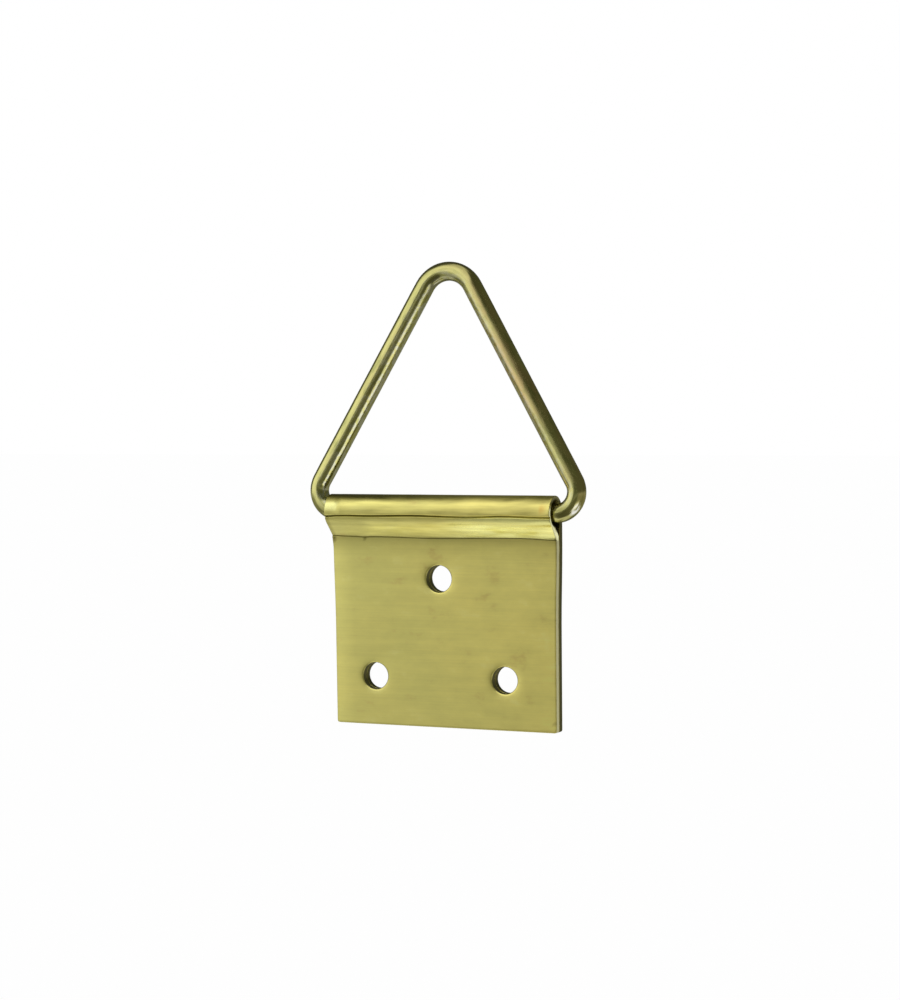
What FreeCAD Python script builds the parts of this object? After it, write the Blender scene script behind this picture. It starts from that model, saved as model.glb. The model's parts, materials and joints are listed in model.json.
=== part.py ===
"""Hanger for pictures: a folded, brass-plated plate with a triangular wire ring.

The plate is one strip of sheet, folded in half round the straight base of the ring. The fold is
an open tube, called the bead here, in which the ring swings. Its two mouths are opened a little
by the ring's bends, which reach into them. Under the bead the front wall is pressed against the
wire, which leaves a crease, and it sweeps back in an ogee to the front leaf.

Frame: millimetres, +Z up, the hanger's front towards -Y. The origin is on the back face that
lies against the frame or wall, midway between the plate's side edges and midway in height
between the upper screw hole and the lower pair.
"""

import FreeCAD, Part
import math
import os

from FreeCAD import Vector

os.makedirs("parts", exist_ok=True)

# Sheet and wire
SHEET_THICKNESS = 0.9
LEAF_GAP = 0.1
WIRE_DIAMETER = 2.4

# Plate outline, seen from the front
PLATE_WIDTH = 30.0
HINGE_ABOVE_TOP_HOLE = 8.25
LOWER_EDGE_BELOW_HOLES = 6.1
LOWER_EDGE_SLANT = 0.2
LOWER_CORNER_RADIUS = 0.3

# Bead, crease and ogee, seen from the side
BEAD_CLEARANCE = 0.05
BEAD_SPREAD = 0.15
MOUTH_RISE = 0.38
SPREAD_RUN = 1.2
CREASE_BELOW_HINGE = 0.53
CREASE_DEPTH = 0.33
CREASE_WIDTH = 0.42
CREASE_LIP_RADIUS = 0.2
BAND_THICKNESS = 0.75
OGEE_FOOT_BELOW_HINGE = 3.15
OGEE_FOOT_RADIUS = 0.5

# Screw holes, punched through both leaves
HOLE_DIAMETER = 3.3
LOWER_HOLES_APART = 17.5
HOLE_ROWS_APART = 12.25
HOLES_OFF_CENTRE = -0.6
HOLE_RIM_ROUNDING = 0.2

# Ring
RING_OFF_CENTRE = 0.52
BASE_BEND_RADIUS = 2.6
APEX_BEND_RADIUS = 3.7
BASE_CORNER_ANGLE = 60.0
BUTT_GAP = 0.3
RING_LEAN = 3.0

# Room that cutting bodies have past the solids they cut, and how near two points count as one
CUT_MARGIN = 5.0
SAME_PLACE = 0.001

wire_radius = WIRE_DIAMETER / 2
bead_inner_radius = wire_radius + BEAD_CLEARANCE
bead_outer_radius = bead_inner_radius + SHEET_THICKNESS
band_outer_radius = bead_inner_radius + BAND_THICKNESS
bead_half_width = PLATE_WIDTH / 2 + BEAD_SPREAD
mouth_curve_radius = BASE_BEND_RADIUS - bead_inner_radius
mouth_depth = math.sqrt(mouth_curve_radius**2 - (mouth_curve_radius - MOUTH_RISE) ** 2)

hinge_y = -bead_outer_radius
hinge_z = HOLE_ROWS_APART / 2 + HINGE_ABOVE_TOP_HOLE
back_leaf_inside_y = -SHEET_THICKNESS
front_leaf_inside_y = back_leaf_inside_y - LEAF_GAP
front_face_y = front_leaf_inside_y - SHEET_THICKNESS
lower_edge_z = -HOLE_ROWS_APART / 2 - LOWER_EDGE_BELOW_HOLES
ogee_foot_z = hinge_z - OGEE_FOOT_BELOW_HINGE


def side_point(y, z):
    """A point of the side view, in the plane x = 0."""
    return Vector(0, y, z)


def round_hinge(radius, degrees):
    """A point at a radius round the hinge axis: 0 is the back, 90 the top, 180 the front."""
    turn = math.radians(degrees)
    return side_point(hinge_y + radius * math.cos(turn), hinge_z + radius * math.sin(turn))


def hinge_arc(radius, start, end):
    """An arc round the hinge axis between two angles."""
    middle = round_hinge(radius, (start + end) / 2)
    return Part.Arc(round_hinge(radius, start), middle, round_hinge(radius, end)).toShape()


def straight(start, end):
    """A straight edge between two points."""
    return Part.LineSegment(start, end).toShape()


def band_slope():
    """Degrees between the vertical and the band, a line from the foot of the ogee that touches
    the pressed front wall's outer circle."""
    back = front_face_y - hinge_y
    reach = math.hypot(back, OGEE_FOOT_BELOW_HINGE)
    lead = math.degrees(math.atan2(back, OGEE_FOOT_BELOW_HINGE))
    return lead + math.degrees(math.asin(band_outer_radius / reach))


def band_inside_foot(slope):
    """Where the inner side of the band meets the inner side of the front leaf."""
    turn = math.radians(slope)
    back = front_leaf_inside_y - hinge_y
    drop = (bead_inner_radius + back * math.cos(turn)) / math.sin(turn)
    return side_point(front_leaf_inside_y, hinge_z - drop)


def crease_angles():
    """Degrees round the hinge to the crease's upper lip, its root and its lower lip."""
    root = 180 + math.degrees(math.asin(CREASE_BELOW_HINGE / bead_outer_radius))
    half_opening = math.degrees(CREASE_WIDTH / 2 / bead_outer_radius)
    return root - half_opening, root, root + half_opening


def crease_points():
    """The crease's upper lip on the bead, its root, and its lower lip on the pressed band."""
    upper, root, lower = crease_angles()
    return [
        round_hinge(bead_outer_radius, upper),
        round_hinge(bead_outer_radius - CREASE_DEPTH, root),
        round_hinge(band_outer_radius, lower),
    ]


def outer_edges(slope):
    """The outside of the bead, the crease and the pressed band down to its straight part."""
    upper_angle, _, lower_angle = crease_angles()
    upper, root, lower = crease_points()
    return [
        hinge_arc(bead_outer_radius, 0, upper_angle),
        straight(upper, root),
        straight(root, lower),
        hinge_arc(band_outer_radius, lower_angle, 180 + slope),
    ]


def plate_section():
    """The folded strip's section: back leaf, bead, crease, band, ogee and front leaf."""
    slope = band_slope()
    floor_z = lower_edge_z - CUT_MARGIN
    foot = side_point(front_face_y, ogee_foot_z)
    inside_foot = band_inside_foot(slope)
    back_floor = side_point(0, floor_z)
    back_floor_inside = side_point(back_leaf_inside_y, floor_z)
    front_floor = side_point(front_face_y, floor_z)
    front_floor_inside = side_point(front_leaf_inside_y, floor_z)
    edges = [straight(back_floor, round_hinge(bead_outer_radius, 0))]
    edges += outer_edges(slope)
    edges.append(straight(round_hinge(band_outer_radius, 180 + slope), foot))
    edges.append(straight(foot, front_floor))
    edges.append(straight(front_floor, front_floor_inside))
    edges.append(straight(front_floor_inside, inside_foot))
    edges.append(straight(inside_foot, round_hinge(bead_inner_radius, 180 + slope)))
    edges.append(hinge_arc(bead_inner_radius, 180 + slope, 0))
    edges.append(straight(round_hinge(bead_inner_radius, 0), back_floor_inside))
    edges.append(straight(back_floor_inside, back_floor))
    return Part.Face(Part.Wire(edges))


def plate_outline():
    """The outline that the strip was cut to, seen from the front, through the whole depth."""
    half = PLATE_WIDTH / 2
    wide = bead_half_width
    low = lower_edge_z
    slant = LOWER_EDGE_SLANT / 2
    spread_z = ogee_foot_z - SPREAD_RUN
    top_z = hinge_z + bead_outer_radius + CUT_MARGIN
    corners = [
        (-half, low + slant),
        (half, low - slant),
        (half, spread_z),
        (wide, ogee_foot_z),
        (wide, top_z),
        (-wide, top_z),
        (-wide, ogee_foot_z),
        (-half, spread_z),
    ]
    points = [Vector(x, CUT_MARGIN, z) for x, z in corners]
    face = Part.Face(Part.makePolygon(points + points[:1]))
    depth = 2 * bead_outer_radius + 2 * CUT_MARGIN
    block = face.extrude(Vector(0, -depth, 0))
    lower_corners = [edge for edge in block.Edges if is_lower_corner(edge)]
    return block.makeFillet(LOWER_CORNER_RADIUS, lower_corners)


def is_lower_corner(edge):
    """Whether an edge of the outline's block is one of its two lower corners."""
    middle = edge.CenterOfMass
    runs_in_depth = abs(edge.tangentAt(edge.FirstParameter).y) > 0.5
    return runs_in_depth and middle.z < lower_edge_z + LOWER_EDGE_SLANT


def hole_centres():
    """The x and z of the three screw holes: the upper one and the lower pair."""
    top = (HOLES_OFF_CENTRE, HOLE_ROWS_APART / 2)
    left = (HOLES_OFF_CENTRE - LOWER_HOLES_APART / 2, -HOLE_ROWS_APART / 2)
    right = (HOLES_OFF_CENTRE + LOWER_HOLES_APART / 2, -HOLE_ROWS_APART / 2)
    return [top, left, right]


def hole_punch(x, z):
    """The body that one screw hole takes out of both leaves, seen from behind."""
    start = Vector(x, CUT_MARGIN, z)
    return Part.makeCylinder(HOLE_DIAMETER / 2, 2 * CUT_MARGIN - front_face_y, start, Vector(0, -1, 0))


def mouth_cone(side):
    """The cone that opens the bead's bore at one end: side is -1 at the left, 1 at the right.

    It widens the bore by the mouth's rise over the mouth's depth, which is as far as a bend of
    the ring reaches in when its inner side keeps the bead's clearance at the end."""
    tip = bead_half_width - mouth_depth - bead_inner_radius * mouth_depth / MOUTH_RISE
    length = bead_half_width + CUT_MARGIN - tip
    start = Vector(side * tip, hinge_y, hinge_z)
    return Part.makeCone(0, length * MOUTH_RISE / mouth_depth, length, start, Vector(side, 0, 0))


def is_front_rim(edge):
    """Whether an edge is the front rim of a screw hole."""
    circle = isinstance(edge.Curve, Part.Circle)
    return circle and edge.isClosed() and abs(edge.CenterOfMass.y - front_face_y) < SAME_PLACE


def edges_through(shape, points):
    """The edges of the drawn-out section that run across it through points of the side view."""
    found = []
    for edge in shape.Edges:
        middle = side_point(edge.CenterOfMass.y, edge.CenterOfMass.z)
        runs_across = edge.Length > PLATE_WIDTH / 2
        if runs_across and any(middle.distanceToPoint(point) < SAME_PLACE for point in points):
            found.append(edge)
    return found


def make_folded_plate():
    """The folded strip with its outline, opened mouths, holes, rounded rims and ogee foot."""
    section = plate_section()
    reach = bead_half_width + CUT_MARGIN
    section.translate(Vector(-reach, 0, 0))
    plate = section.extrude(Vector(2 * reach, 0, 0))
    upper_lip, _, lower_lip = crease_points()
    foot = side_point(front_face_y, ogee_foot_z)
    inside_foot = band_inside_foot(band_slope())
    inside_radius = OGEE_FOOT_RADIUS + SHEET_THICKNESS
    plate = plate.makeFillet(CREASE_LIP_RADIUS, edges_through(plate, [upper_lip, lower_lip]))
    plate = plate.makeFillet(OGEE_FOOT_RADIUS, edges_through(plate, [foot]))
    plate = plate.makeFillet(inside_radius, edges_through(plate, [inside_foot]))
    plate = plate.common(plate_outline())
    for side in (-1, 1):
        plate = plate.cut(mouth_cone(side))
    for x, z in hole_centres():
        plate = plate.cut(hole_punch(x, z))
    rims = [edge for edge in plate.Edges if is_front_rim(edge)]
    return plate.makeFillet(HOLE_RIM_ROUNDING, rims)


def bend_setback(radius, corner_angle):
    """How far from a corner's point its bend starts, along either side."""
    return radius / math.tan(math.radians(corner_angle) / 2)


def bend_middle(corner, first, second, radius, corner_angle):
    """The middle point of the bend that rounds a corner between two neighbouring points."""
    bisector = (first - corner).normalize() + (second - corner).normalize()
    half_angle = math.radians(corner_angle) / 2
    return corner + bisector.normalize() * (radius / math.sin(half_angle) - radius)


def bend(corner, before, after, radius, corner_angle):
    """The arc that rounds one corner of the ring, from the side before it to the side after."""
    setback = bend_setback(radius, corner_angle)
    start = corner + (before - corner).normalize() * setback
    end = corner + (after - corner).normalize() * setback
    return Part.Arc(start, bend_middle(corner, before, after, radius, corner_angle), end)


def make_triangle_ring():
    """One wire: half the base, a tight corner, a leg, the apex, a leg, a corner, half the base.

    The ring has slid to the right, until its left bend touches the bead's left mouth."""
    half_straight = bead_half_width - mouth_depth + RING_OFF_CENTRE
    half_base = half_straight + bend_setback(BASE_BEND_RADIUS, BASE_CORNER_ANGLE)
    apex_angle = 180 - 2 * BASE_CORNER_ANGLE
    right = Vector(half_base, hinge_y, hinge_z)
    left = Vector(-half_base, hinge_y, hinge_z)
    apex = Vector(0, hinge_y, hinge_z + half_base * math.tan(math.radians(BASE_CORNER_ANGLE)))
    right_end = Vector(BUTT_GAP / 2, hinge_y, hinge_z)
    left_end = Vector(-BUTT_GAP / 2, hinge_y, hinge_z)
    bends = [
        bend(right, right_end, apex, BASE_BEND_RADIUS, BASE_CORNER_ANGLE),
        bend(apex, right, left, APEX_BEND_RADIUS, apex_angle),
        bend(left, apex, left_end, BASE_BEND_RADIUS, BASE_CORNER_ANGLE),
    ]
    edges = []
    reached = right_end
    for arc in bends:
        edges.append(straight(reached, arc.StartPoint))
        edges.append(arc.toShape())
        reached = arc.EndPoint
    edges.append(straight(reached, left_end))
    section = Part.Wire(Part.makeCircle(wire_radius, right_end, Vector(1, 0, 0)))
    ring = Part.Wire(edges).makePipeShell([section], True, False)
    ring.rotate(Vector(0, hinge_y, hinge_z), Vector(1, 0, 0), -RING_LEAN)
    ring.translate(Vector(RING_OFF_CENTRE, 0, 0))
    return ring


make_folded_plate().exportStep("parts/folded_plate.step")
make_triangle_ring().exportStep("parts/triangle_ring.step")
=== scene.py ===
"""Brass-plated picture hanger: a folded plate with a triangular wire ring that swings in the fold.

The plate is one strip of sheet. Its mesh is worked out in the strip's flat pattern (a length along
the strip, a place across it and a depth through the sheet) and then folded round the wire. The
ring is a circle carried along a path of straight lines and arcs.
"""

import json
import logging
import math
from dataclasses import dataclass, field, fields
from enum import Enum
from typing import Sequence

import bpy
import numpy as np
from mathutils import Matrix, Vector

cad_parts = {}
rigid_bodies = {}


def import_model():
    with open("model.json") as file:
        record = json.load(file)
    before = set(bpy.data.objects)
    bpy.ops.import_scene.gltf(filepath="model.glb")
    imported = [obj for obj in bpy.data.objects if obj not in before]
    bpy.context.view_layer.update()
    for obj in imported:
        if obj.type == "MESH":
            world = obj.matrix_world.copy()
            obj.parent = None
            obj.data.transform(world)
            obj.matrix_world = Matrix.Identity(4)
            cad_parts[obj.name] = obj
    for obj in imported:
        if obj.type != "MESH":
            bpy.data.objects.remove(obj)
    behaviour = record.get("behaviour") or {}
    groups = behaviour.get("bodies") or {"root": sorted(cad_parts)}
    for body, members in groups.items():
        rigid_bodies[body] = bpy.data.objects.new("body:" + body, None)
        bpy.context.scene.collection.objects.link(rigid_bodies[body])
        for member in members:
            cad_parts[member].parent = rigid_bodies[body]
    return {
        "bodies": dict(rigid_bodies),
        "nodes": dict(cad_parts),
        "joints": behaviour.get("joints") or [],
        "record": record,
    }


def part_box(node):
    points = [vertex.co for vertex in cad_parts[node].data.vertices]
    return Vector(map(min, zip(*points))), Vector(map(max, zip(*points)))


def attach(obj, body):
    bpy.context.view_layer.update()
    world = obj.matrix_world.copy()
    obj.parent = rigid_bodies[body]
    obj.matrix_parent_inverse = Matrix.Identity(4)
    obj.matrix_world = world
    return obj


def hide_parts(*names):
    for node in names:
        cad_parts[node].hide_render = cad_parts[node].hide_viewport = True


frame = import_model()

LOG = logging.getLogger("picture_hanger")
MM = 0.001

Colour = tuple[float, float, float, float]
Span = tuple[float, float]
Socket = bpy.types.NodeSocket
Value = float | tuple[float, ...] | Socket


class Skin(Enum):
    """The two skins of the sheet, as a share of its thickness counted from the outside."""

    OUTER = 0.0
    INNER = 1.0


class Leaf(Enum):
    """The two flat leaves of the folded strip."""

    FRONT = "front"
    BACK = "back"


def bell(value: np.ndarray, middle: float | np.ndarray, width: float, power: int = 2) -> np.ndarray:
    """A bell curve of height 1 round the middle, with a flatter top at a higher even power."""
    return np.exp(-(((value - middle) / width) ** power))


def smooth_step(value: np.ndarray, start: float, end: float) -> np.ndarray:
    """Rises from 0 at start to 1 at end along a cubic that is level at both ends."""
    share = np.clip((value - start) / (end - start), 0.0, 1.0)
    return share * share * (3.0 - 2.0 * share)


@dataclass(frozen=True)
class SoftBump:
    """A rounded rise or dip of a wandering line: its middle, half its width and its height."""

    middle: float
    width: float
    height: float

    def at(self, place: np.ndarray) -> np.ndarray:
        """Height at each place: a bell curve round the middle."""
        return self.height * bell(place, self.middle, self.width)


def wander(place: np.ndarray, bumps: Sequence[SoftBump]) -> np.ndarray:
    """Adds up the bumps of a wandering line, at each place along it."""
    return sum((bump.at(place) for bump in bumps), np.zeros_like(place))


def spaced(stops: Sequence[float], step: float, fixed: dict[int, int]) -> np.ndarray:
    """Divides a line at the given stops, and evenly between them.

    Args:
        stops: Places that have to be hit, in rising order.
        step: About how far apart the divisions are.
        fixed: The number of divisions of some spans, by the span's index.

    Returns:
        All places from the first stop to the last.
    """
    parts = []
    for index, (start, end) in enumerate(zip(stops[:-1], stops[1:])):
        count = fixed.get(index, max(1, round((end - start) / step)))
        parts.append(np.linspace(start, end, count, endpoint=False))
    return np.concatenate(parts + [np.array([stops[-1]])])


def grid_quads(ids: np.ndarray) -> np.ndarray:
    """The quads between the neighbours of a grid of corner numbers, four to a row."""
    return np.stack([ids[:-1, :-1], ids[:-1, 1:], ids[1:, 1:], ids[1:, :-1]], axis=-1).reshape(-1, 4)


@dataclass(frozen=True)
class HangerFrame:
    """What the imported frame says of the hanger, in metres."""

    hinge_y: float
    hinge_z: float
    hole_radius: float
    holes: tuple[tuple[float, float], ...]
    lowest_z: float
    half_width: float

    @classmethod
    def read(cls, loaded: dict) -> "HangerFrame":
        """Reads the hinge, the screw holes and the outer sizes.


        Returns:
            The sizes that the meshes are built on.
        """
        mounts = {mount["name"]: mount for mount in loaded["record"]["mounts"]}
        top, pair = mounts["top_screw_hole"], mounts["lower_screw_holes"]
        half_apart = pair["dims"]["spacing_x_mm"] * MM / 2
        middle_x, _, pair_z = pair["pos_m"]
        holes = (
            (top["pos_m"][0], top["pos_m"][2]),
            (middle_x - half_apart, pair_z),
            (middle_x + half_apart, pair_z),
        )
        hinge = loaded["joints"][0]["pos_m"]
        low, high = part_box("folded_plate")
        radius = pair["dims"]["hole_r_mm"] * MM
        return cls(hinge[1], hinge[2], radius, holes, low.z, high.x)


@dataclass(frozen=True)
class BeadMouth:
    """How the ring's bends opened the bead's two ends: a cone that a bend fits into.

    The mouth is as deep as a bend reaches in when its inner side has risen by the mouth's rise
    and still keeps the bead's clearance.
    """

    half_width: float
    bore_radius: float
    rise: float = 0.38 * MM
    bend_radius: float = 2.6 * MM

    @property
    def depth(self) -> float:
        """How far the cone reaches in from the bead's end."""
        curve = self.bend_radius - self.bore_radius
        return math.sqrt(curve**2 - (curve - self.rise) ** 2)

    def radius_at(self, across: np.ndarray) -> np.ndarray:
        """Radius round the hinge inside which nothing of the sheet is left, across the plate."""
        reach = np.abs(across) - (self.half_width - self.depth)
        return self.bore_radius + reach * self.rise / self.depth


@dataclass(frozen=True)
class StripSection:
    """Side view of the folded strip, from the front leaf's lower edge over the bead to the back.

    Both skins are lines through the same stations, so that a place in the sheet is a length
    along the strip and a depth between the skins.
    """

    hinge_y: float
    hinge_z: float
    lower_z: float
    leaf_rows: np.ndarray
    back_rows: np.ndarray
    thickness: float = 0.9 * MM
    leaf_gap: float = 0.1 * MM
    band_thickness: float = 0.75 * MM
    foot_below_hinge: float = 3.15 * MM
    foot_radius: float = 0.5 * MM
    crease_below_hinge: float = 0.53 * MM
    crease_depth: float = 0.36 * MM
    crease_width: float = 0.15 * MM
    crease_half_turn: float = 0.13
    foot_rows: int = 9
    ogee_rows: int = 9
    band_rows: int = 10
    crease_rows: int = 20
    bead_rows: int = 58
    foot_wander: tuple[SoftBump, ...] = (
        SoftBump(-15.0 * MM, 1.6 * MM, 0.06 * MM),
        SoftBump(-10.6 * MM, 0.9 * MM, -0.05 * MM),
        SoftBump(-1.0 * MM, 4.0 * MM, -0.12 * MM),
        SoftBump(9.0 * MM, 3.0 * MM, 0.03 * MM),
        SoftBump(15.0 * MM, 2.0 * MM, -0.13 * MM),
    )
    crease_wander: tuple[SoftBump, ...] = (
        SoftBump(-15.2 * MM, 1.7 * MM, -0.16 * MM),
        SoftBump(-9.0 * MM, 3.0 * MM, -0.03 * MM),
        SoftBump(-3.0 * MM, 2.6 * MM, 0.08 * MM),
        SoftBump(3.8 * MM, 2.3 * MM, -0.09 * MM),
        SoftBump(9.3 * MM, 2.4 * MM, 0.09 * MM),
    )

    @property
    def outer_radius(self) -> float:
        """Outside radius of the bead, which is flush with the back face."""
        return -self.hinge_y

    @property
    def inner_radius(self) -> float:
        """Radius of the bead's bore."""
        return self.outer_radius - self.thickness

    @property
    def band_radius(self) -> float:
        """Outside radius of the front wall where it is pressed thinner under the crease."""
        return self.inner_radius + self.band_thickness

    @property
    def front_y(self) -> float:
        """The front leaf's outer face."""
        return -2 * self.thickness - self.leaf_gap

    @property
    def foot_z(self) -> float:
        """Height of the corner between the band and the front leaf."""
        return self.hinge_z - self.foot_below_hinge

    @property
    def slope(self) -> float:
        """Leans the band as the tangent from the foot to the wall's front.

        Returns:
            The angle between the vertical and the band, in radians.
        """
        back = self.front_y - self.hinge_y
        reach = math.hypot(back, self.foot_below_hinge)
        return math.atan2(back, self.foot_below_hinge) + math.asin(self.band_radius / reach)

    @property
    def crease_angle(self) -> float:
        """Angle of the crease's root round the hinge, with 0 at the back and a half turn in front."""
        return math.pi + math.asin(self.crease_below_hinge / self.outer_radius)

    def wall_angles(self) -> np.ndarray:
        """Spaces the stations round the hinge, close together at the crease.

        Returns:
            Their angles, from the band's start in front to 0 at the back.
        """
        start, root, near = math.pi + self.slope, self.crease_angle, self.crease_half_turn
        band = np.linspace(start, root + near, self.band_rows, endpoint=False)
        crease = np.linspace(root + near, root - near, self.crease_rows, endpoint=False)
        bead = np.linspace(root - near, 0.0, self.bead_rows)
        return np.concatenate([band, crease, bead])

    def wall_radius(self, angles: np.ndarray) -> np.ndarray:
        """Outer radius of the wall: the band's, then the bead's, less a bell-shaped crease.

        The step from the band to the bead is a smooth one, over three widths of the crease.

        Args:
            angles: Angles round the hinge, in radians.

        Returns:
            The radius at each angle.
        """
        off_root = (angles - self.crease_angle) * self.outer_radius
        bead = 1.0 - smooth_step(off_root, -self.crease_width, 2 * self.crease_width)
        radius = self.band_radius + (self.outer_radius - self.band_radius) * bead
        depth = self.crease_depth - (self.outer_radius - radius)
        return radius - depth * bell(off_root, 0.0, self.crease_width)

    def around_hinge(self, y: np.ndarray, z: np.ndarray) -> tuple[np.ndarray, np.ndarray]:
        """Radius and angle of points round the hinge, the angle from 0 to a full turn."""
        off_y, off_z = y - self.hinge_y, z - self.hinge_z
        return np.hypot(off_y, off_z), np.mod(np.arctan2(off_z, off_y), 2 * math.pi)

    def at_hinge(self, radius: np.ndarray | float, angles: np.ndarray) -> np.ndarray:
        """Points (y, z) at a radius and angle round the hinge."""
        off = np.stack([radius * np.cos(angles), radius * np.sin(angles)], axis=-1)
        return np.array([self.hinge_y, self.hinge_z]) + off

    def foot_bend(self, face_y: float, foot_z: float, radius: float) -> np.ndarray:
        """Bends a leaf's face into the band by an arc that touches both.

        Args:
            face_y: Where the leaf's face is.
            foot_z: Height of the corner in which the face and the band would meet.
            radius: The arc's radius.

        Returns:
            Points (y, z) of the arc, from the leaf to the band.
        """
        centre_z = foot_z - radius * math.tan(self.slope / 2)
        turn = np.linspace(0.0, self.slope, self.foot_rows)
        y = face_y - radius + radius * np.cos(turn)
        return np.stack([y, centre_z + radius * np.sin(turn)], axis=-1)

    def skin(
        self, face_y: float, foot_z: float, bend: float, wall: np.ndarray | float, back_y: float
    ) -> np.ndarray:
        """Runs one skin of the sheet from the front leaf's lower edge to the back leaf's.

        Args:
            face_y: The skin's place on the front leaf.
            foot_z: Height of the corner in which the leaf and the band would meet.
            bend: Radius of the foot's bend.
            wall: Radius round the hinge, at each of the wall's angles.
            back_y: The skin's place on the back leaf.

        Returns:
            Points (y, z), one at each station.
        """
        leaf_z = np.concatenate([[self.lower_z], self.leaf_rows])
        back_z = np.concatenate([self.back_rows[::-1], [self.lower_z]])[1:]
        foot = self.foot_bend(face_y, foot_z, bend)
        round_wall = self.at_hinge(wall, self.wall_angles())
        shares = np.linspace(0.0, 1.0, self.ogee_rows + 1, endpoint=False)[1:, None]
        band = foot[-1] + (round_wall[0] - foot[-1]) * shares
        leaf = np.stack([np.full_like(leaf_z, face_y), leaf_z], axis=-1)
        back = np.stack([np.full_like(back_z, back_y), back_z], axis=-1)
        return np.concatenate([leaf, foot, band, round_wall, back])

    def stations(self) -> tuple[np.ndarray, np.ndarray, np.ndarray]:
        """Lays both skins out through shared stations.

        Returns:
            The length along the strip, the outer skin's (y, z) and the inner skin's (y, z).
        """
        inside_y = self.front_y + self.thickness
        lean = self.inner_radius + (inside_y - self.hinge_y) * math.cos(self.slope)
        inside_foot_z = self.hinge_z - lean / math.sin(self.slope)
        inside_bend = self.foot_radius + self.thickness
        wall = self.wall_radius(self.wall_angles())
        outer = self.skin(self.front_y, self.foot_z, self.foot_radius, wall, 0.0)
        inner = self.skin(inside_y, inside_foot_z, inside_bend, self.inner_radius, -self.thickness)
        step = np.hypot(*np.diff(outer, axis=0).T)
        return np.concatenate([[0.0], np.cumsum(step)]), outer, inner


@dataclass
class Rim:
    """A boundary loop of the flat pattern: its points and the way out of the sheet at each."""

    ids: np.ndarray
    base: np.ndarray
    outward: np.ndarray
    closed_hole: bool
    leaf: Leaf


@dataclass
class FlatNet:
    """Quads of the flat pattern: a grid of length and width with a ring of quads round each hole."""

    lengths: np.ndarray
    widths: np.ndarray
    crowding: float = 1.4
    first_corner: float = math.radians(-135.0)
    points: list[np.ndarray] = field(default_factory=list)
    quads: list[np.ndarray] = field(default_factory=list)
    rims: list[Rim] = field(default_factory=list)

    def __post_init__(self) -> None:
        """Lays out the grid's points and keeps every cell until a hole takes some away."""
        length, width = np.meshgrid(self.lengths, self.widths, indexing="ij")
        self.points.append(np.stack([length.ravel(), width.ravel()], axis=1))
        self.count = length.size
        self.ids = np.arange(length.size).reshape(length.shape)
        self.kept = np.ones((len(self.lengths) - 1, len(self.widths) - 1), bool)

    def punch(
        self, corner: tuple[int, int], cells: int, centre: np.ndarray, radius: float, leaf: Leaf
    ) -> None:
        """Replaces a square window of cells by rings that run from the square to a circle.

        Each ring is a mix of the circle and the square, point by point at equal angles.

        Args:
            corner: Row and column of the window's first corner.
            cells: The window's cells along each side.
            centre: Length and width of the hole's middle.
            radius: Radius of the circle where the rings end.
            leaf: The leaf that the hole is in.
        """
        row, column = corner
        last_row, last_column = row + cells, column + cells
        self.kept[row:last_row, column:last_column] = False
        sides = [
            self.ids[row, column:last_column],
            self.ids[row:last_row, last_column],
            self.ids[last_row, last_column:column:-1],
            self.ids[last_row:row:-1, column],
        ]
        border = np.concatenate(sides)
        turn = 2 * math.pi * np.arange(len(border)) / len(border) + self.first_corner
        direction = np.stack([np.sin(turn), np.cos(turn)], axis=1)
        circle = centre + radius * direction
        square = self.points[0][border]
        rings = cells // 2
        previous = border
        for ring in range(1, rings + 1):
            share = (1.0 - ring / rings) ** self.crowding
            self.points.append(circle + (square - circle) * share)
            current = self.count + np.arange(len(border))
            self.count += len(border)
            corners = [previous, np.roll(previous, -1), np.roll(current, -1), current]
            self.quads.append(np.stack(corners, axis=1))
            previous = current
        self.rims.append(Rim(previous[::-1], circle[::-1], -direction[::-1], True, leaf))

    def close(self, corner_steps: int) -> None:
        """Adds the kept cells and the outer rim, whose corners fan round.

        Args:
            corner_steps: How many steps a corner's fan has.
        """
        ids = self.ids
        self.quads.append(grid_quads(ids)[self.kept.ravel()])
        sides = [ids[0, :], ids[:, -1], ids[-1, ::-1], ids[::-1, 0]]
        fan = math.pi / 2 * np.arange(1, corner_steps) / corner_steps
        loop, turns = [], []
        for index, side in enumerate(sides):
            angle = (index - 1) * math.pi / 2
            loop += [side, np.repeat(side[-1], corner_steps - 1)]
            turns += [np.full(len(side), angle), angle + fan]
        order, turn = np.concatenate(loop), np.concatenate(turns)
        direction = np.stack([np.sin(turn), np.cos(turn)], axis=1)
        self.rims.append(Rim(order, self.points[0][order], direction, False, Leaf.FRONT))


@dataclass(frozen=True)
class EdgeProfile:
    """How a cut edge runs through the sheet: a drawn-in corner, a wall and a small burr."""

    inset: float
    thickness: float
    drawn_in: float
    burr: float = 0.04 * MM
    corner_rows: int = 6
    wall_rows: int = 5

    def rows(self) -> tuple[np.ndarray, np.ndarray]:
        """Carries the edge from one skin to the other, by a quarter circle at each corner.

        Returns:
            How far out of the inset line each row is, and its depth as a share of the sheet.
        """
        turn = np.linspace(0.0, math.pi / 2, self.corner_rows)
        entry_out = self.inset - self.drawn_in + self.drawn_in * np.sin(turn)
        entry_depth = self.drawn_in * (1.0 - np.cos(turn))
        exit_out = (self.inset - self.burr + self.burr * np.sin(turn))[::-1]
        exit_depth = self.thickness - (self.burr * (1.0 - np.cos(turn)))[::-1]
        wall_depth = np.linspace(entry_depth[-1], exit_depth[0], self.wall_rows)[1:-1]
        out = np.concatenate([entry_out, np.full_like(wall_depth, self.inset), exit_out])
        depth = np.concatenate([entry_depth, wall_depth, exit_depth])
        return out, depth / self.thickness


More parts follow.
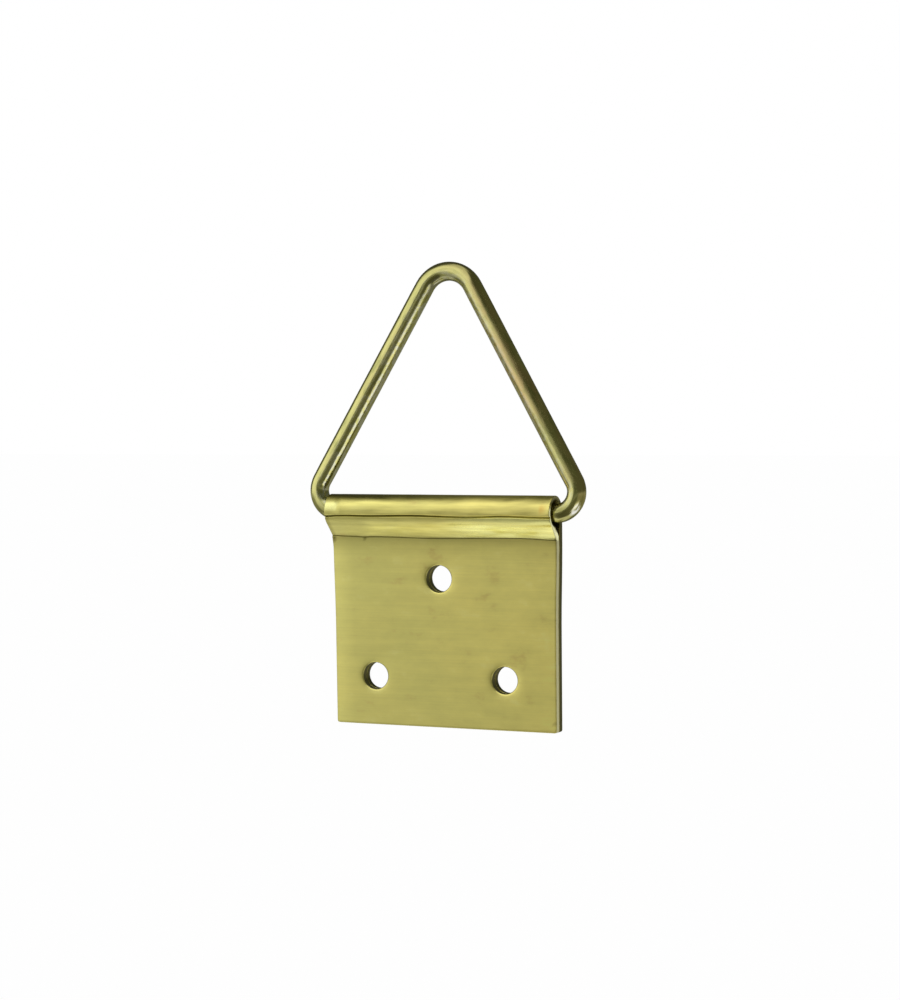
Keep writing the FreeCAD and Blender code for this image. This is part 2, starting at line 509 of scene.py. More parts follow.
def mesh_object(
    name: str, points: np.ndarray, faces: list[np.ndarray], attributes: dict[str, np.ndarray]
) -> bpy.types.Object:
    """Puts worked-out points and faces into a smooth mesh object at the origin.

    Args:
        name: The piece's name.
        points: Corner places in metres, one row each.
        faces: Arrays of corner numbers, one face to a row.
        attributes: Numbers or vectors per corner for the finish to read, by name.

    Returns:
        The object, linked into the scene.
    """
    polygons = [face for array in faces for face in array.tolist()]
    mesh = bpy.data.meshes.new(name)
    mesh.from_pydata(points.tolist(), [], polygons)
    mesh.polygons.foreach_set("use_smooth", np.ones(len(polygons), bool))
    for key, values in attributes.items():
        vector = values.ndim == 2
        kind = "FLOAT_VECTOR" if vector else "FLOAT"
        attribute = mesh.attributes.new(key, kind, "POINT")
        attribute.data.foreach_set("vector" if vector else "value", values.astype(np.float32).ravel())
    mesh.update()
    piece = bpy.data.objects.new(name, mesh)
    bpy.context.scene.collection.objects.link(piece)
    return piece


def drop_unused(quads: np.ndarray) -> tuple[np.ndarray, np.ndarray]:
    """The numbers of the points that the quads use, and the quads renumbered to those alone."""
    used, inverse = np.unique(quads, return_inverse=True)
    return used, inverse.reshape(quads.shape)


def split_degenerate(quads: np.ndarray) -> tuple[np.ndarray, np.ndarray]:
    """Parts true quads from those with a doubled corner, which become triangles.

    Args:
        quads: Corner numbers, four to a row.

    Returns:
        The true quads and the triangles.
    """
    doubled = quads[:, 0] == quads[:, 3]
    far_doubled = quads[:, 1] == quads[:, 2]
    far_only = far_doubled & ~doubled
    triangles = np.concatenate([quads[doubled][:, :3], quads[far_only][:, [0, 1, 3]]])
    return quads[~(doubled | far_doubled)], triangles


class Axis(Enum):
    """What a mark on the sheet is measured along: millimetres, degrees, or shares from 0 to 1."""

    WIDTH = "place across the strip"
    DEPTH = "share of the way from the outer skin to the inner one"
    BACK = "place along y"
    HEIGHT = "place along z"
    TURN = "angle round the hinge"
    FROM_LEFT = "distance from the plate's left end"
    OFF_CREASE = "distance along the wall from the wandering crease"
    OFF_FOOT = "height over the wandering foot line"
    OFF_BEND = "height over the plain foot line"
    OFF_HINGE = "height over the hinge"
    UP_BAND = "share of the way from the foot line up to the crease"


class Region(Enum):
    """Parts of the sheet that a mark keeps to."""

    OUTSIDE = "outer skin"
    FRONT = "outer skin at the front leaf's face and in front of it"
    UNDER_FOOT = "the front below the foot line"
    LOWEST = "the front's last bit above its lower edge"
    WALL = "outer skin above the foot line"
    BAND = "the wall below the crease"
    BEAD = "the wall above the crease, over its top and most of the way down the back"
    BORE = "the wall round the wire, all through its thickness"
    CUT = "cut edges"
    WALL_CUT = "cut edges from the front to a little behind the hinge"
    RIGHT_CUT = "the front leaf's cut edge on the right"
    HOLE_CUT = "cut edges of the screw holes"


@dataclass
class SheetPlaces:
    """Where the sheet's points are along each axis, and how far each belongs to each region.

    Its own sizes are in metres and radians, and a skin's fade is in shares of the depth.
    """

    section: StripSection
    frame: HangerFrame
    flat: np.ndarray
    folded: np.ndarray
    skin_fade: Span = (0.1, 0.4)
    front_depth: float = 0.2 * MM
    band_depth: float = 0.5 * MM
    bead_start: float = 0.3
    lowest_length: float = 0.12 * MM
    wall_cut_depth: float = 0.9 * MM
    right_cut_width: float = 14.5 * MM
    right_cut_back: float = -1.05 * MM
    hole_reach: float = 0.12 * MM

    def __post_init__(self) -> None:
        """Fills the table of axes and the table of regions."""
        section = self.section
        length, width, depth, cut = self.flat.T
        x, y, z = self.folded.T
        radius, angle = section.around_hinge(y, z)
        foot_z = section.foot_z + wander(width, section.foot_wander)
        crease_z = section.hinge_z - section.crease_below_hinge
        shift = wander(width, section.crease_wander) / section.outer_radius
        self.axes: dict[Axis, np.ndarray] = {
            Axis.WIDTH: width / MM,
            Axis.DEPTH: depth,
            Axis.BACK: y / MM,
            Axis.HEIGHT: z / MM,
            Axis.TURN: np.degrees(angle),
            Axis.FROM_LEFT: (width + self.frame.half_width) / MM,
            Axis.OFF_CREASE: (angle - section.crease_angle + shift) * section.outer_radius / MM,
            Axis.OFF_FOOT: (z - foot_z) / MM,
            Axis.OFF_BEND: (z - section.foot_z) / MM,
            Axis.OFF_HINGE: (z - section.hinge_z) / MM,
            Axis.UP_BAND: (z - foot_z) / (crease_z - foot_z),
        }
        outside = 1.0 - smooth_step(depth, *self.skin_fade)
        front = outside * (y < section.front_y + self.front_depth)
        wall = outside * (z > foot_z)
        below_crease = (angle > section.crease_angle) * (y < section.hinge_y + self.band_depth)
        above_crease = (angle < section.crease_angle) * (angle > self.bead_start)
        right_cut = (width > self.right_cut_width) * (y < self.right_cut_back)
        to_holes = [np.hypot(x - hole_x, z - hole_z) for hole_x, hole_z in self.frame.holes]
        at_hole = np.minimum.reduce(to_holes) < self.frame.hole_radius + self.hole_reach
        self.regions: dict[Region, np.ndarray] = {
            Region.OUTSIDE: outside,
            Region.FRONT: front,
            Region.UNDER_FOOT: front * (z < foot_z),
            Region.LOWEST: front * (length < self.lowest_length),
            Region.WALL: wall,
            Region.BAND: wall * below_crease,
            Region.BEAD: wall * above_crease,
            Region.BORE: (radius < section.outer_radius) * (z > section.foot_z),
            Region.CUT: cut,
            Region.WALL_CUT: cut * (y < section.hinge_y + self.wall_cut_depth),
            Region.RIGHT_CUT: cut * right_cut * (z < section.foot_z),
            Region.HOLE_CUT: cut * at_hole,
        }


@dataclass(frozen=True)
class Rise:
    """A factor that runs smoothly between two values from one place on an axis to another."""

    axis: Axis
    start: float
    end: float
    values: Span = (0.0, 1.0)

    def at(self, places: SheetPlaces) -> np.ndarray:
        """The factor at every point."""
        first, last = self.values
        return first + (last - first) * smooth_step(places.axes[self.axis], self.start, self.end)


@dataclass(frozen=True)
class Hump:
    """A factor that is a bell curve on an axis, from the first value far off to the last at its top."""

    axis: Axis
    middle: float
    size: float
    power: int = 2
    values: Span = (0.0, 1.0)

    def at(self, places: SheetPlaces) -> np.ndarray:
        """The factor at every point."""
        first, last = self.values
        return first + (last - first) * bell(places.axes[self.axis], self.middle, self.size, self.power)


@dataclass(frozen=True)
class Decay:
    """A factor that falls off exponentially on both sides of an axis's zero."""

    axis: Axis
    run: float

    def at(self, places: SheetPlaces) -> np.ndarray:
        """The factor at every point."""
        return np.exp(-np.abs(places.axes[self.axis]) / self.run)


@dataclass(frozen=True)
class Mark:
    """One mark on the sheet: its strength in a region, times the factors that shape it."""

    what: str
    strength: float
    region: Region
    factors: tuple[Rise | Hump | Decay, ...] = ()

    def at(self, places: SheetPlaces) -> np.ndarray:
        """Multiplies the region, the strength and the factors.

        Args:
            places: Where the sheet's points are.

        Returns:
            The mark's strength at every point.
        """
        amount = self.strength * places.regions[self.region]
        for factor in self.factors:
            amount = amount * factor.at(places)
        LOG.debug("%s: up to %.2f", self.what, amount.max())
        return amount


@dataclass(frozen=True)
class PlateWear:
    """What the plate's finish is told of its state and of its painted shade and highlights: the strongest
    mark of each kind at each point.
    """

    # Dark marks: most are painted shade, named as such; a few are spots, nicks and darker ends.
    grime: tuple[Mark, ...] = (
        # Painted shade in the crease, stronger towards the left.
        Mark(
            "dirt in the crease", 1.0, Region.OUTSIDE,
            (Hump(Axis.OFF_CREASE, 0.0, 0.11), Rise(Axis.WIDTH, -3.0, 7.0, values=(1.0, 0.6))),
        ),
        # Painted shade along the foot line.
        Mark("dirt on the foot line", 1.0, Region.FRONT, (Hump(Axis.OFF_FOOT, 0.0, 0.11),)),
        # Painted shade on the front leaf under the overhanging band.
        Mark("dull skin under the foot", 0.42, Region.UNDER_FOOT, (Decay(Axis.OFF_FOOT, 1.1),)),
        # Painted shade inside the bore round the wire.
        Mark("dark bore", 0.9, Region.BORE, (Rise(Axis.DEPTH, 0.55, 0.95),)),
        # Painted shade on the back leaf's cut edges.
        Mark("dark back edges", 0.75, Region.CUT, (Rise(Axis.BACK, -1.05, -0.9),)),
        # Painted shade on the band away from its middle.
        Mark(
            "dull band off its middle", 0.42, Region.BAND,
            (Hump(Axis.UP_BAND, 0.45, 0.32, values=(1.0, 0.0)),),
        ),
        # Painted shade over the band's left part.
        Mark("dull band on the left", 0.34, Region.BAND, (Rise(Axis.WIDTH, -8.0, -10.5),)),
        Mark("dark left end of the band", 0.55, Region.BAND, (Rise(Axis.WIDTH, -14.45, -14.7),)),
        Mark(
            "notch in the foot line", 0.95, Region.FRONT,
            (Hump(Axis.WIDTH, -10.55, 0.26), Hump(Axis.OFF_FOOT, -0.1, 0.26)),
        ),
        Mark(
            "spot on the left edge", 0.95, Region.FRONT,
            (Hump(Axis.WIDTH, -14.75, 0.34), Hump(Axis.OFF_FOOT, -0.3, 0.5)),
        ),
        Mark(
            "nick at the lower right corner", 0.7, Region.FRONT,
            (Hump(Axis.WIDTH, 14.8, 0.25), Hump(Axis.HEIGHT, -11.1, 0.12)),
        ),
        # Painted shade along the top of the bead, stronger on the left.
        Mark(
            "dull line on top of the bead", 1.0, Region.OUTSIDE,
            (Rise(Axis.WIDTH, -10.0, 6.0, values=(0.8, 0.2)), Hump(Axis.TURN, 112.0, 22.0, power=4)),
        ),
        # Painted shade on the bead's right part.
        Mark("dull right part of the bead", 0.10, Region.BEAD, (Rise(Axis.WIDTH, -2.0, 4.0),)),
        # Painted shade on the bead's lower part.
        Mark("dull lower part of the bead", 0.13, Region.BEAD, (Rise(Axis.TURN, 150.0, 168.0),)),
        # Painted shade in a line beside the pressed facet.
        Mark(
            "line beside the pressed facet", 0.3, Region.BEAD,
            (Hump(Axis.FROM_LEFT, 1.75, 0.16), Rise(Axis.TURN, 148.0, 160.0)),
        ),
        Mark("dark lower rim", 0.3, Region.LOWEST),
        # Painted shade on the screw holes' walls.
        Mark("dark walls of the screw holes", 0.7, Region.HOLE_CUT),
    )
    bare: tuple[Mark, ...] = (
        # Bare cut metal at the wall's edge, its pale cream colour a painted highlight.
        Mark(
            "bare edge of the wall", 1.0, Region.WALL_CUT,
            (Rise(Axis.OFF_HINGE, 1.0, 0.4), Rise(Axis.OFF_BEND, -0.6, 0.1)),
        ),
        Mark("thinly plated right edge of the front leaf", 0.5, Region.RIGHT_CUT),
    )
    # Painted highlight on the band's right part, which is also glossier.
    polish: tuple[Mark, ...] = (
        Mark("rubbed right part of the band", 1.0, Region.BAND, (Rise(Axis.WIDTH, -2.0, 6.0),)),
    )
    stain: tuple[Mark, ...] = (
        Mark(
            "orange spot near the right mouth", 1.0, Region.OUTSIDE,
            (Hump(Axis.WIDTH, 14.05, 0.30), Hump(Axis.TURN, 165.0, 14.0)),
        ),
    )
    facet: tuple[Mark, ...] = (
        # Painted highlight on the facet pressed into the bead's left end.
        Mark(
            "facet pressed into the bead's left end", 1.0, Region.WALL,
            (Rise(Axis.WIDTH, -13.15, -13.5), Hump(Axis.TURN, 160.0, 16.0, power=4)),
        ),
    )
    fold: tuple[Mark, ...] = (Mark("bead", 1.0, Region.BEAD), Mark("band", 1.0, Region.BAND))
    cut: tuple[Mark, ...] = (Mark("cut edges", 1.0, Region.CUT),)

    def attributes(self, places: SheetPlaces) -> dict[str, np.ndarray]:
        """Takes the strongest mark of each kind.

        Args:
            places: Where the sheet's points are.

        Returns:
            Each kind's strength at every point, from 0 to 1, by the kind's name.
        """
        kinds = {kind.name: getattr(self, kind.name) for kind in fields(self)}
        found = {name: [mark.at(places) for mark in marks] for name, marks in kinds.items()}
        return {name: np.maximum.reduce(amounts) for name, amounts in found.items()}


@dataclass
class FoldedPlate:
    """The folded strip: front leaf, ogee, crease, bead and back leaf, with three punched holes."""

    frame: HangerFrame
    name: str = "brass_folded_plate"
    wear: PlateWear = PlateWear()
    cell: float = 0.375 * MM
    window: float = 6.0 * MM
    window_cells: int = 16
    corner_radius: float = 0.3 * MM
    corner_steps: int = 6
    edge_drawn_in: float = 0.08 * MM
    hole_drawn_in: float = 0.2 * MM
    cut_depths: Span = (0.05, 0.97)
    wall_share: float = 0.99
    crease_reach: float = 0.22
    press_turn: float = 0.25
    flattened: tuple[SoftBump, ...] = (
        SoftBump(-12.0 * MM, 1.3 * MM, 0.05 * MM),
        SoftBump(-7.0 * MM, 2.2 * MM, 0.09 * MM),
        SoftBump(2.0 * MM, 2.0 * MM, 0.05 * MM),
        SoftBump(8.5 * MM, 2.6 * MM, 0.08 * MM),
        SoftBump(13.0 * MM, 1.2 * MM, 0.03 * MM),
    )
    end_press: float = 0.15 * MM
    end_press_rise: Span = (-13.3 * MM, -13.6 * MM)
    front_depth: float = 0.1 * MM
    foot_rise: Span = (-1.6 * MM, -0.4 * MM)
    foot_fall: Span = (1.6 * MM, 0.2 * MM)
    foot_swell: float = 0.13 * MM
    foot_swell_run: float = 0.7 * MM
    foot_swell_rise: Span = (0.1 * MM, -0.1 * MM)
    left_droop: float = 0.20 * MM
    left_droop_run: float = 1.2 * MM
    left_droop_rise: Span = (0.0, -1.5 * MM)
    dimple: float = 0.09 * MM
    dimple_run: float = 0.36 * MM
    bead_spread: float = 0.15 * MM
    bead_spread_rise: Span = (-11.0 * MM, -0.3 * MM)
    left_taper: float = 0.22 * MM
    left_taper_width: float = 2.3 * MM
    lower_slant: float = 0.2 * MM
    bow: float = 0.035 * MM
    bow_rise: Span = (0.0, -1.0 * MM)
    bow_across: Span = (4.1 * MM, 0.8)
    bow_down: Span = (5.3 * MM, 0.4)

    @property
    def lower_z(self) -> float:
        """Height of the lower edge's middle, half the slant above its lowest corner."""
        return self.frame.lowest_z + self.lower_slant / 2

    @property
    def plain_half_width(self) -> float:
        """Half the strip's width, before the bead's ends are spread."""
        return self.frame.half_width - self.bead_spread

    def build_section(self) -> StripSection:
        """Places the leaves' rows so that each hole's square window falls on them.

        Returns:
            The side view with its rows.
        """
        size, half, low = self.frame, self.window / 2, self.lower_z
        (_, top_z), (_, pair_z) = size.holes[:2]
        bare = StripSection(size.hinge_y, size.hinge_z, low, np.array([]), np.array([]))
        bend_start = bare.foot_bend(bare.front_y, bare.foot_z, bare.foot_radius)[0, 1]
        stops = [low + self.corner_radius, pair_z - half, pair_z + half, top_z - half, top_z + half]
        windows = dict.fromkeys((1, 3), self.window_cells)
        leaf_rows = spaced(stops + [bend_start], self.cell, windows)[:-1]
        back_rows = spaced(stops + [size.hinge_z], self.cell, windows)
        return StripSection(size.hinge_y, size.hinge_z, low, leaf_rows, back_rows)

    def build_net(self, section: StripSection) -> FlatNet:
        """Draws the flat pattern and punches the three holes through both leaves.

        Args:
            section: The side view, for the length of every row.

        Returns:
            The net of quads with its rims.
        """
        size, half = self.frame, self.window / 2
        lengths, outer, _ = section.stations()
        edge = self.plain_half_width - self.corner_radius
        stops = [-edge]
        for x, _ in sorted(size.holes):
            stops += [x - half, x + half]
        widths = spaced(stops + [edge], self.cell, dict.fromkeys((1, 3, 5), self.window_cells))
        net = FlatNet(lengths[1:-1], widths)
        heights = outer[1:-1, 1]
        bead_row = int(np.argmax(heights))
        for x, z in size.holes:
            column = int(np.argmin(np.abs(widths - (x - half))))
            front_row = int(np.argmin(np.abs(heights[:bead_row] - (z - half))))
            back_row = bead_row + int(np.argmin(np.abs(heights[bead_row:] - (z + half))))
            for leaf, row in ((Leaf.FRONT, front_row), (Leaf.BACK, back_row)):
                middle = (net.lengths[row] + net.lengths[row + self.window_cells]) / 2
                radius = size.hole_radius + self.corner_radius
                net.punch((row, column), self.window_cells, np.array([middle, x]), radius, leaf)
        net.close(self.corner_steps)
        return net

    def shape_rims(self, section: StripSection, net: FlatNet) -> tuple[np.ndarray, np.ndarray]:
        """Joins the two skins along every rim.

        Args:
            section: The side view, for the sheet's thickness.
            net: The flat pattern.

        Returns:
            Points as length, width, depth and cut (1 on a cut wall), and all quads.
        """
        flat = np.concatenate(net.points)
        count = len(flat)
        points = [np.column_stack([flat, np.full(count, skin.value), np.zeros(count)]) for skin in Skin]
        outer_quads = np.concatenate(net.quads)
        quads = [outer_quads, outer_quads[:, ::-1] + count]
        total = 2 * count
        first_cut, last_cut = self.cut_depths
        for rim in net.rims:
            punched_front = rim.closed_hole and rim.leaf is Leaf.FRONT
            drawn_in = self.hole_drawn_in if punched_front else self.edge_drawn_in
            profile = EdgeProfile(self.corner_radius, section.thickness, drawn_in)
            rows = [rim.ids]
            for out, depth in zip(*profile.rows()):
                size = len(rim.base)
                cut = float(first_cut < depth < last_cut)
                place = rim.base + rim.outward * out
                points.append(np.column_stack([place, np.full(size, depth), np.full(size, cut)]))
                rows.append(total + np.arange(size))
                total += size
            rows.append(rim.ids + count)
            for near, far in zip(rows[:-1], rows[1:]):
                quads.append(np.stack([near, far, np.roll(far, -1), np.roll(near, -1)], axis=1))
        return np.concatenate(points), np.concatenate(quads)

    def press_wall(
        self, section: StripSection, width: np.ndarray, y: np.ndarray, z: np.ndarray
    ) -> tuple[np.ndarray, np.ndarray]:
        """Turns the crease round the hinge by its wander, and presses the bead's front in.

        The press is a squared cosine of the turn off the front, times bumps across the plate
        and a step at the left end.

        Args:
            section: The side view.
            width: Each point's place across the strip.
            y: The outer skin's place in depth.
            z: The outer skin's height.

        Returns:
            The skin's new place in depth and height.
        """
        radius, angle = section.around_hinge(y, z)
        on_wall = (y < section.hinge_y + section.outer_radius * self.wall_share) & (z > section.foot_z)
        near_crease = bell(angle, section.crease_angle, self.crease_reach) * on_wall
        angle = angle - wander(width, section.crease_wander) / section.outer_radius * near_crease
        front = np.clip(np.cos(angle - math.pi + self.press_turn), 0.0, 1.0) ** 2
        depth = wander(width, self.flattened) + self.end_press * smooth_step(width, *self.end_press_rise)
        press = depth * front * (angle < section.crease_angle)
        pressed = section.at_hinge(radius - press, angle)
        moved = on_wall & (radius > section.inner_radius)
        return np.where(moved, pressed[:, 0], y), np.where(moved, pressed[:, 1], z)

    def open_mouths(
        self, section: StripSection, width: np.ndarray, y: np.ndarray, z: np.ndarray
    ) -> tuple[np.ndarray, np.ndarray]:
        """Pushes the inner skin out to the cones of the bead's two mouths.

        Args:
            section: The side view.
            width: Each point's place across the strip.
            y: The inner skin's place in depth.
            z: The inner skin's height.

        Returns:
            The skin's new place in depth and height.
        """
        mouth = BeadMouth(self.frame.half_width, section.inner_radius)
        cone = mouth.radius_at(width * self.frame.half_width / self.plain_half_width)
        radius, _ = section.around_hinge(y, z)
        grown = np.maximum(cone, radius) / radius
        opened_y = section.hinge_y + (y - section.hinge_y) * grown
        return opened_y, section.hinge_z + (z - section.hinge_z) * grown

    def fold(self, section: StripSection, flat: np.ndarray) -> np.ndarray:
        """Folds the flat pattern: every point goes to its station and then takes its hand marks.

        The foot line goes up and down by its wander, the front leaf droops at its left edge, and
        each hole's rim is dimpled, both by an exponential.

        Args:
            section: The side view.
            flat: Points as length, width, depth and cut.

        Returns:
            Points (x, y, z) in metres.
        """
        lengths, outer, inner = section.stations()
        length, width, depth, _ = flat.T
        y, z = (np.interp(length, lengths, skin) for skin in outer.T)
        inner_y, inner_z = (np.interp(length, lengths, skin) for skin in inner.T)
        y, z = self.press_wall(section, width, y, z)
        front = y < section.front_y + self.front_depth
        off_foot = z - section.foot_z
        near_foot = smooth_step(off_foot, *self.foot_rise) * smooth_step(off_foot, *self.foot_fall)
        z = z + wander(width, section.foot_wander) * near_foot * front
        droop = self.left_droop * np.exp(-(width + self.plain_half_width) / self.left_droop_run)
        y = y + droop * front * smooth_step(z - section.foot_z, *self.left_droop_rise)
        for hole_x, hole_z in self.frame.holes:
            off_rim = np.clip(np.hypot(width - hole_x, z - hole_z) - self.frame.hole_radius, 0.0, None)
            y = y + self.dimple * np.exp(-off_rim / self.dimple_run) * front
        inner_y, inner_z = self.open_mouths(section, width, inner_y, inner_z)
        y, z = y + (inner_y - y) * depth, z + (inner_z - z) * depth
        return self.trim(section, width, y, z, front)

    def trim(
        self, section: StripSection, width: np.ndarray, y: np.ndarray, z: np.ndarray, front: np.ndarray
    ) -> np.ndarray:
        """Gives the folded sheet its spread bead ends, tapered left edge, slanted lower edge and bow.

        The bow is a product of two sines. Under the foot line the front leaf swells out by an
        exponential.

        Args:
            section: The side view.
            width: Each point's place across the strip.
            y: Place in depth.
            z: Height.
            front: Which points are at the front leaf's face or in front of it.

        Returns:
            Points (x, y, z) in metres.
        """
        plain, off_foot = self.plain_half_width, z - section.foot_z
        spread = smooth_step(off_foot, *self.bead_spread_rise)
        x = width * (1.0 + self.bead_spread / plain * spread)
        below = np.clip(-off_foot / (section.foot_z - self.lower_z), 0.0, 1.0)
        x = x + self.left_taper * below * smooth_step(-width, plain - self.left_taper_width, plain)
        low = 1.0 - smooth_step(z, self.lower_z, self.frame.holes[1][1] - self.window / 2)
        z = z - self.lower_slant / 2 * width / plain * low
        off_foot = z - section.foot_z
        (wide, wide_start), (tall, tall_start) = self.bow_across, self.bow_down
        ripple = np.sin(width / wide + wide_start) * np.sin(z / tall + tall_start)
        y = y + self.bow * front * smooth_step(off_foot, *self.bow_rise) * (1.0 + ripple) / 2
        swell = smooth_step(off_foot, *self.foot_swell_rise)
        swell = swell * np.exp(-np.clip(-off_foot, 0.0, None) / self.foot_swell_run)
        return np.stack([x, y - self.foot_swell * swell * front, z], axis=1)

    def build(self) -> bpy.types.Object:
        """Makes the plate's mesh, rides it on its body and lets it stand for the plain solid.

        Returns:
            The plate.
        """
        section = self.build_section()
        net = self.build_net(section)
        flat, quads = self.shape_rims(section, net)
        used, quads = drop_unused(quads)
        flat = flat[used]
        points = self.fold(section, flat)
        length, width, depth, _ = flat.T
        pattern = np.column_stack([width, length, depth * section.thickness])
        places = SheetPlaces(section, self.frame, flat, points)
        attributes = {"sheet": pattern, **self.wear.attributes(places)}
        piece = mesh_object(self.name, points, list(split_degenerate(quads)), attributes)
        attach(piece, "plate")
        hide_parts("folded_plate")
        return piece


@dataclass
class TriangleRing:
    """The wire ring: a straight base in the bead, two tight corners, two legs and a round apex."""

    frame: HangerFrame
    name: str = "brass_triangle_ring"
    wire_diameter: float = 2.4 * MM
    bead_clearance: float = 0.05 * MM
    off_centre: float = 0.52 * MM
    apex_bend_radius: float = 3.7 * MM
    base_angle: float = math.radians(60.0)
    butt_gap: float = 0.3 * MM
    lean: float = math.radians(3.0)
    end_chamfer: float = 0.2 * MM
    end_rows: int = 4
    bend_flattening: float = 0.03
    flattening_rows: int = 4
    sides: int = 48
    step: float = 0.3 * MM
    bend_step: float = math.radians(3.0)
    # Tarnishing mixed with painted shade: over the apex's top and underside, and at the two corners.
    apex_tarnish_reach: float = 5.0 * MM
    top_tarnish: float = 0.65
    top_tarnish_rise: Span = (0.1 * MM, 0.7 * MM)
    under_tarnish: float = 0.8
    under_tarnish_rise: Span = (-0.1 * MM, -0.6 * MM)
    corner_tarnish: float = 0.6
    corner_tarnish_length: float = 15.4 * MM
    corner_tarnish_reach: float = 1.3 * MM
    # The painted glint near the right corner: its middle and size in length along the wire, outward part
    # and normal part.
    worn_middle: tuple[float, float, float] = (16.95 * MM, 0.95 * MM, -0.70 * MM)
    worn_size: tuple[float, float, float] = (0.62 * MM, 0.40 * MM, 0.38 * MM)

    def path(self) -> tuple[np.ndarray, np.ndarray]:
        """Runs round the ring in its own flat plane, with the hinge line as height 0.

        Returns:
            The centre line's (x, height) and its curvature in 1/m, at each station.
        """
        mouth = BeadMouth(self.frame.half_width, self.wire_diameter / 2 + self.bead_clearance)
        half_straight = self.frame.half_width - mouth.depth + self.off_centre
        half_base = half_straight + mouth.bend_radius / math.tan(self.base_angle / 2)
        apex = (0.0, half_base * math.tan(self.base_angle))
        corners = [
            ((half_base, 0.0), mouth.bend_radius, self.base_angle),
            (apex, self.apex_bend_radius, math.pi - 2 * self.base_angle),
            ((-half_base, 0.0), mouth.bend_radius, self.base_angle),
        ]
        reached, heading = np.array([self.butt_gap / 2, 0.0]), 0.0
        points, curvature = [], []
        for corner, radius, angle in corners:
            forward = np.array([math.cos(heading), math.sin(heading)])
            bend_start = np.array(corner) - forward * (radius / math.tan(angle / 2))
            count = max(2, round(np.linalg.norm(bend_start - reached) / self.step))
            shares = np.arange(count)[:, None] / count
            points.append(reached + (bend_start - reached) * shares)
            curvature.append(np.zeros(count))
            turn = math.pi - angle
            count = round(turn / self.bend_step)
            out = heading - math.pi / 2 + turn * np.arange(count) / count
            centre = bend_start + radius * np.array([-forward[1], forward[0]])
            points.append(centre + radius * np.stack([np.cos(out), np.sin(out)], axis=1))
            curvature.append(np.full(count, 1.0 / radius))
            heading += turn
            reached = centre + radius * np.array([math.sin(heading), -math.cos(heading)])
        end = np.array([-self.butt_gap / 2, 0.0])
        count = round(np.linalg.norm(end - reached) / self.step)
        points.append(reached + (end - reached) * np.linspace(0.0, 1.0, count + 1)[:, None])
        curvature.append(np.zeros(count + 1))
        return np.concatenate(points), np.concatenate(curvature)

    def surface(self, line: np.ndarray, curvature: np.ndarray) -> tuple[np.ndarray, np.ndarray]:
        """Carries a circle along the path, flattens it a little in the bends and chamfers its ends.

        A point is the centre line plus the wire's radius times a turn from the outward direction
        in the ring's plane towards the plane's own normal. The plane leans back about the hinge.

        Args:
            line: The centre line's (x, height) at each station.
            curvature: Its curvature at each station.

        Returns:
            Points (x, y, z) in rows round the wire, and the same rows as a length along the wire
            with the outward and the normal part of the plain wire's radius.
        """
        radius, last = self.wire_diameter / 2, len(line) - 1
        ahead = np.gradient(line, axis=0)
        ahead /= np.linalg.norm(ahead, axis=1)[:, None]
        window = 2 * self.flattening_rows + 1
        padded = np.pad(curvature, self.flattening_rows, "edge")
        spread = np.convolve(padded, np.full(window, 1 / window), "valid")
        flat = 1.0 - self.bend_flattening * spread / curvature.max()
        slide = self.end_chamfer * np.sin(np.linspace(0.0, math.pi / 2, self.end_rows, endpoint=False))
        chamfer = radius - self.end_chamfer + slide
        middle = np.arange(1, last)
        order = np.concatenate([np.zeros(self.end_rows, int), middle, np.full(self.end_rows, last)])
        slides = np.concatenate([slide, np.zeros(len(middle)), -slide[::-1]])[:, None]
        radii = np.concatenate([chamfer, np.full(len(middle), radius), chamfer[::-1]])[:, None]
        centre, forward = line[order] + ahead[order] * slides, ahead[order]
        turn = np.linspace(0.0, 2 * math.pi, self.sides, endpoint=False)
        across = radii * np.cos(turn) * flat[order][:, None]
        proud = radii * np.sin(turn)
        x = self.off_centre + centre[:, :1] + forward[:, 1:] * across
        height = centre[:, 1:] - forward[:, :1] * across
        y = self.frame.hinge_y + proud * math.cos(self.lean) + height * math.sin(self.lean)
        z = self.frame.hinge_z + height * math.cos(self.lean) - proud * math.sin(self.lean)
        steps = np.linalg.norm(np.diff(line, axis=0), axis=1)
        travelled = np.concatenate([[0.0], np.cumsum(steps)])[order][:, None]
        pattern = np.broadcast_arrays(travelled, radius * np.cos(turn), radius * np.sin(turn))
        return np.stack([x, y, z], axis=-1), np.stack(pattern, axis=-1)

    def wear(self, wire: np.ndarray) -> dict[str, np.ndarray]:
        """Works out where the wire is tarnished and darkened by painted shade, and where the painted
        glint lies, by bells along it.

        Args:
            wire: Points as length along the wire, outward part and normal part.

        Returns:
            The attributes for the tarnishing with painted shade and for the painted glint, each from 0 to
            1.
        """
        along, outward, _ = wire.T
        whole = along.max()
        # Painted shade on the apex's top and underside and at the corners, mixed with tarnishing.
        top = self.top_tarnish * smooth_step(outward, *self.top_tarnish_rise)
        under = self.under_tarnish * smooth_step(outward, *self.under_tarnish_rise)
        tarnish = bell(along, whole / 2, self.apex_tarnish_reach) * np.maximum(top, under)
        for corner in (self.corner_tarnish_length, whole - self.corner_tarnish_length):
            at_corner = self.corner_tarnish * bell(along, corner, self.corner_tarnish_reach)
            tarnish = np.maximum(tarnish, at_corner)
        # The painted glint.
        off_painted_glint = (wire - np.array(self.worn_middle)) / np.array(self.worn_size)
        return {"tarnish": tarnish, "worn": np.exp(-np.sum(off_painted_glint**2, axis=1))}

